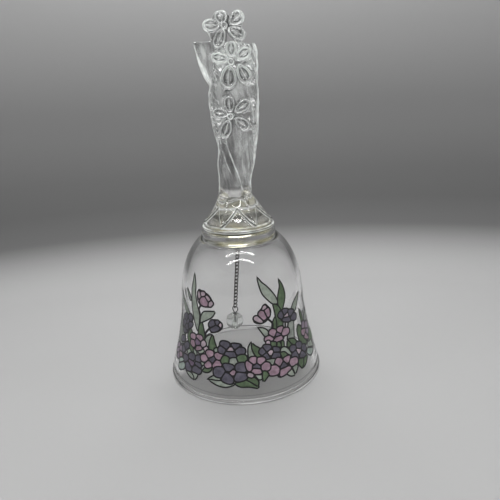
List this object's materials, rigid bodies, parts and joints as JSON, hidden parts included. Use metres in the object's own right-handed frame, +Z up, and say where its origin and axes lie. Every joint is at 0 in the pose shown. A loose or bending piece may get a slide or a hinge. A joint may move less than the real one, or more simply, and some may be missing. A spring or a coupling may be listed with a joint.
{
  "type": "glass hand bell",
  "caption": "Clear glass hand bell with a pressed glass flower handle, rung by a glass bead clapper on a fine chain.",
  "frame": {"origin": "centre of the rim, on the surface that the bell stands on", "axes": "+Z up the bell's axis to the handle, decorated front towards -Y"},
  "size_m": [0.076, 0.076, 0.1661],
  "materials": {
    "clear_glass": "clear and polished, with stained glass style enamel flowers round the front in the scene",
    "pressed_glass": "pressed, frosted on the leaves and clear on the flowers and foot",
    "bead_glass": "clear and polished",
    "clear_adhesive": "clear cured adhesive with a faint yellow tint",
    "dark_steel": "darkened bright wire"
  },
  "bodies": {
    "bell": {"glass_bell": "clear_glass", "handle": "pressed_glass", "bond_disc": "clear_adhesive", "chain_hook": "dark_steel", "hook_adhesive": "clear_adhesive"},
    "link_01": {"chain_link_01": "dark_steel"},
    "link_02": {"chain_link_02": "dark_steel"},
    "link_03": {"chain_link_03": "dark_steel"},
    "link_04": {"chain_link_04": "dark_steel"},
    "link_05": {"chain_link_05": "dark_steel"},
    "link_06": {"chain_link_06": "dark_steel"},
    "link_07": {"chain_link_07": "dark_steel"},
    "link_08": {"chain_link_08": "dark_steel"},
    "link_09": {"chain_link_09": "dark_steel"},
    "link_10": {"chain_link_10": "dark_steel"},
    "link_11": {"chain_link_11": "dark_steel"},
    "link_12": {"chain_link_12": "dark_steel"},
    "link_13": {"chain_link_13": "dark_steel"},
    "link_14": {"chain_link_14": "dark_steel"},
    "link_15": {"chain_link_15": "dark_steel"},
    "link_16": {"chain_link_16": "dark_steel"},
    "link_17": {"chain_link_17": "dark_steel"},
    "link_18": {"chain_link_18": "dark_steel"},
    "clapper": {"clapper_bail": "dark_steel", "clapper_bead": "bead_glass"}
  },
  "joints": [
    {"name": "hook_swing", "type": "hinge", "parent": "bell", "child": "link_01", "pos_m": [-0.0008, 0, 0.0634], "axis": [0.3404, 0.9397, -0.0328], "range_deg": [-38, 24]},
    {"name": "chain_swing_01", "type": "hinge", "parent": "link_01", "child": "link_02", "pos_m": [-0.00091, 0, 0.06228], "axis": [0.9354, -0.342, -0.0901], "range_deg": [-31, 35]},
    {"name": "chain_swing_02", "type": "hinge", "parent": "link_02", "child": "link_03", "pos_m": [-0.00114, 0, 0.05987], "axis": [-0.3404, -0.9397, 0.0328], "range_deg": [-27, 40]},
    {"name": "chain_swing_03", "type": "hinge", "parent": "link_03", "child": "link_04", "pos_m": [-0.00126, 0, 0.05865], "axis": [-0.9354, 0.342, 0.0901], "range_deg": [-38, 35]},
    {"name": "chain_swing_04", "type": "hinge", "parent": "link_04", "child": "link_05", "pos_m": [-0.00149, 0, 0.05624], "axis": [0.3404, 0.9397, -0.0328], "range_deg": [-40, 30]},
    {"name": "chain_swing_05", "type": "hinge", "parent": "link_05", "child": "link_06", "pos_m": [-0.00161, 0, 0.05503], "axis": [0.9354, -0.342, -0.0901], "range_deg": [-40, 40]},
    {"name": "chain_swing_06", "type": "hinge", "parent": "link_06", "child": "link_07", "pos_m": [-0.00184, 0, 0.05262], "axis": [-0.3404, -0.9397, 0.0328], "range_deg": [-26, 40]},
    {"name": "chain_swing_07", "type": "hinge", "parent": "link_07", "child": "link_08", "pos_m": [-0.00195, 0, 0.05141], "axis": [-0.9354, 0.342, 0.0901], "range_deg": [-40, 40]},
    {"name": "chain_swing_08", "type": "hinge", "parent": "link_08", "child": "link_09", "pos_m": [-0.00219, 0, 0.049], "axis": [0.3404, 0.9397, -0.0328], "range_deg": [-40, 40]},
    {"name": "chain_swing_09", "type": "hinge", "parent": "link_09", "child": "link_10", "pos_m": [-0.0023, 0, 0.04778], "axis": [0.9354, -0.342, -0.0901], "range_deg": [-40, 40]},
    {"name": "chain_swing_10", "type": "hinge", "parent": "link_10", "child": "link_11", "pos_m": [-0.00254, 0, 0.04537], "axis": [-0.3404, -0.9397, 0.0328], "range_deg": [-40, 40]},
    {"name": "chain_swing_11", "type": "hinge", "parent": "link_11", "child": "link_12", "pos_m": [-0.00265, 0, 0.04416], "axis": [-0.9354, 0.342, 0.0901], "range_deg": [-40, 40]},
    {"name": "chain_swing_12", "type": "hinge", "parent": "link_12", "child": "link_13", "pos_m": [-0.00288, 0, 0.04175], "axis": [0.3404, 0.9397, -0.0328], "range_deg": [-40, 40]},
    {"name": "chain_swing_13", "type": "hinge", "parent": "link_13", "child": "link_14", "pos_m": [-0.003, 0, 0.04054], "axis": [0.9354, -0.342, -0.0901], "range_deg": [-40, 40]},
    {"name": "chain_swing_14", "type": "hinge", "parent": "link_14", "child": "link_15", "pos_m": [-0.00323, 0, 0.03813], "axis": [-0.3404, -0.9397, 0.0328], "range_deg": [-40, 40]},
    {"name": "chain_swing_15", "type": "hinge", "parent": "link_15", "child": "link_16", "pos_m": [-0.00335, 0, 0.03691], "axis": [-0.9354, 0.342, 0.0901], "range_deg": [-40, 40]},
    {"name": "chain_swing_16", "type": "hinge", "parent": "link_16", "child": "link_17", "pos_m": [-0.00358, 0, 0.0345], "axis": [0.3404, 0.9397, -0.0328], "range_deg": [-40, 40]},
    {"name": "chain_swing_17", "type": "hinge", "parent": "link_17", "child": "link_18", "pos_m": [-0.0037, 0, 0.03329], "axis": [0.9354, -0.342, -0.0901], "range_deg": [-40, 40]},
    {"name": "clapper_swing", "type": "hinge", "parent": "link_18", "child": "clapper", "pos_m": [-0.00387, 0, 0.03152], "axis": [-0.3404, -0.9397, 0.0328], "range_deg": [-25, 25]}
  ]
}
